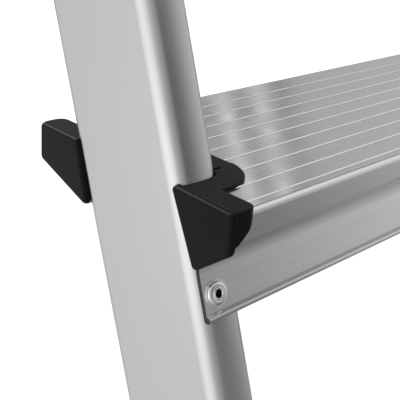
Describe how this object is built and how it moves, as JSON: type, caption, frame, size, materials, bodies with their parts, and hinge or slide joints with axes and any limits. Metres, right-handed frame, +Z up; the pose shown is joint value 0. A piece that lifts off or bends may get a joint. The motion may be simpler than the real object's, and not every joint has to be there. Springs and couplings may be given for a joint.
{
  "type": "step ladder",
  "caption": "Aluminium step ladder with deep ribbed treads, black plastic tread end caps, a folding platform and rear frame, and a tool tray on top.",
  "frame": {"origin": "on the floor, at the centre of the open ladder's box", "axes": "+Z up, +X to the right of a person facing the treads, +Y towards the rear frame"},
  "size_m": [0.516, 0.8288, 1.564],
  "materials": {
    "anodised": "satin drawn aluminium",
    "tread_metal": "bright extruded aluminium with fine lines",
    "bar_metal": "satin aluminium",
    "rivet": "pressed rivet",
    "steel": "zinc plated",
    "black_plastic": "fine grained",
    "washer_plastic": "smooth",
    "rubber": "matte, grooved"
  },
  "bodies": {
    "front_frame": {"front_boot_left": "black_plastic", "front_boot_right": "black_plastic", "front_boot_rivets": "rivet", "front_sole_left": "rubber", "front_sole_right": "rubber", "hinge_bracket_left": "bar_metal", "hinge_bracket_right": "bar_metal", "hinge_bracket_rivets": "rivet", "hinge_pin_left": "steel", "hinge_pin_right": "steel", "hinge_washers": "washer_plastic", "platform_pivot_bush_left": "washer_plastic", "platform_pivot_bush_right": "washer_plastic", "platform_pivot_pin_left": "steel", "platform_pivot_pin_right": "steel", "stile_left": "anodised", "stile_right": "anodised", "tool_tray": "black_plastic", "tray_screws": "steel", "tread_1": "tread_metal", "tread_1_front_cap_left": "black_plastic", "tread_1_front_cap_right": "black_plastic", "tread_1_rear_cap_left": "black_plastic", "tread_1_rear_cap_right": "black_plastic", "tread_2": "tread_metal", "tread_2_front_cap_left": "black_plastic", "tread_2_front_cap_right": "black_plastic", "tread_2_rear_cap_left": "black_plastic", "tread_2_rear_cap_right": "black_plastic", "tread_3": "tread_metal", "tread_3_front_cap_left": "black_plastic", "tread_3_front_cap_right": "black_plastic", "tread_3_rear_cap_left": "black_plastic", "tread_3_rear_cap_right": "black_plastic", "tread_rivets": "rivet"},
    "rear_frame": {"rear_boot_left": "black_plastic", "rear_boot_right": "black_plastic", "rear_boot_rivets": "rivet", "rear_crossbar_lower": "bar_metal", "rear_crossbar_plugs": "black_plastic", "rear_crossbar_rivets": "rivet", "rear_crossbar_upper": "bar_metal", "rear_leg_left": "anodised", "rear_leg_plug_left": "black_plastic", "rear_leg_plug_right": "black_plastic", "rear_leg_right": "anodised", "rear_sole_left": "rubber", "rear_sole_right": "rubber", "support_socket_left": "black_plastic", "support_socket_right": "black_plastic", "support_tube": "bar_metal"},
    "platform": {"platform_deck": "tread_metal", "platform_end_trim_left": "black_plastic", "platform_end_trim_right": "black_plastic", "platform_hook_left": "black_plastic", "platform_hook_right": "black_plastic", "platform_rail_left": "bar_metal", "platform_rail_right": "bar_metal"}
  },
  "joints": [
    {"name": "rear_frame_fold", "type": "hinge", "parent": "front_frame", "child": "rear_frame", "pos_m": [0, 0.15056, 1.1], "axis": [-1, 0, 0], "range_deg": [0, 33]},
    {"name": "platform_tilt", "type": "hinge", "parent": "front_frame", "child": "platform", "pos_m": [0, -0.00726, 0.94], "axis": [1, 0, 0], "range_deg": [0, 69]}
  ],
  "couplings": [
    {"joint": "platform_tilt", "follows": "rear_frame_fold", "ratio": 2.09}
  ]
}
